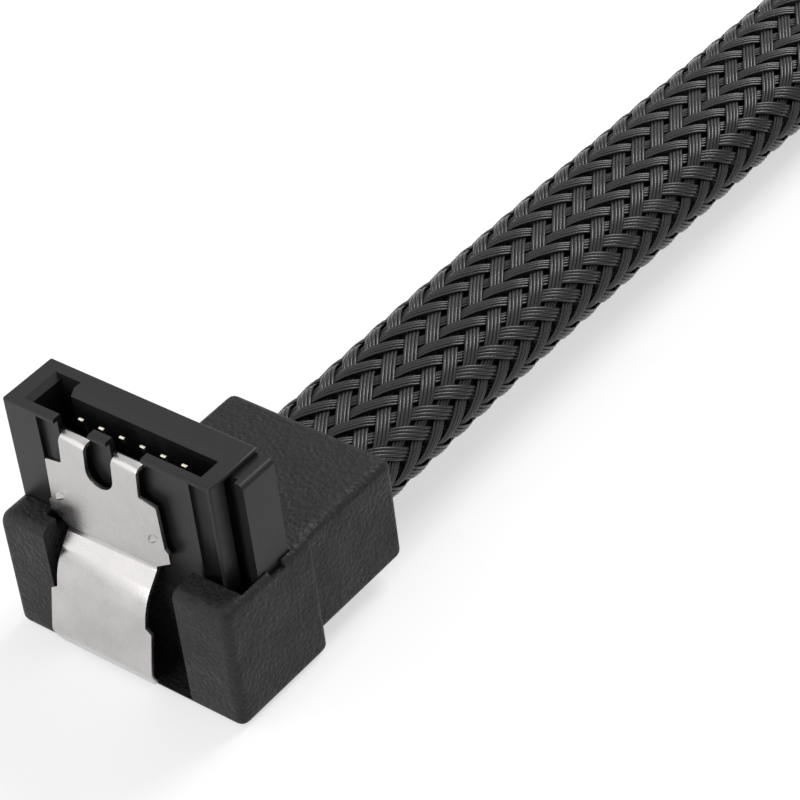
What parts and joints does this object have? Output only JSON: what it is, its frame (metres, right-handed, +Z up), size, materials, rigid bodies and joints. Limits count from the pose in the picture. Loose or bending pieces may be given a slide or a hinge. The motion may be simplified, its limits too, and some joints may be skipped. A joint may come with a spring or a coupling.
{
  "type": "sata data cable",
  "caption": "Short sleeved data cable with a right-angled latching plug, a straight latching plug at its far end, and the spare length laid in one flat coil.",
  "frame": {"origin": "middle of the box round the angled plug, at the flat underside it stands on", "axes": "+X along the row of contacts away from the key, +Y the way the cord leaves the angled plug, +Z up out of its mating face"},
  "size_m": [0.1048, 0.1407, 0.0132],
  "materials": {
    "moulded_body": "fine-grained matte black",
    "insert_plastic": "smooth satin black",
    "latch_steel": "bright satin sheet steel",
    "contact_metal": "pale plated strip",
    "sleeve_braid": "glinting black monofilament braid"
  },
  "bodies": {
    "cable": {"overmould": "moulded_body", "insert_housing": "insert_plastic", "contact_1": "contact_metal", "contact_2": "contact_metal", "contact_3": "contact_metal", "contact_4": "contact_metal", "contact_5": "contact_metal", "contact_6": "contact_metal", "contact_7": "contact_metal", "cable_run": "sleeve_braid", "cable_coil": "sleeve_braid", "cable_tail": "sleeve_braid", "far_overmould": "moulded_body", "far_insert_housing": "insert_plastic", "far_contact_1": "contact_metal", "far_contact_2": "contact_metal", "far_contact_3": "contact_metal", "far_contact_4": "contact_metal", "far_contact_5": "contact_metal", "far_contact_6": "contact_metal", "far_contact_7": "contact_metal"},
    "latch": {"latch_clip": "latch_steel"},
    "far_latch": {"far_latch_clip": "latch_steel"}
  },
  "joints": [
    {"name": "latch_press", "type": "hinge", "parent": "cable", "child": "latch", "pos_m": [-0.00045, -0.00548, 0.00056], "axis": [-1, 0, 0], "range_deg": [0, 1.1], "stiffness_Nm_per_rad": 0.01},
    {"name": "far_latch_press", "type": "hinge", "parent": "cable", "child": "far_latch", "pos_m": [0.05721, 0.05997, 0.00597], "axis": [0.4963, -0.8681, 0], "range_deg": [0, 1.1], "stiffness_Nm_per_rad": 0.01}
  ]
}
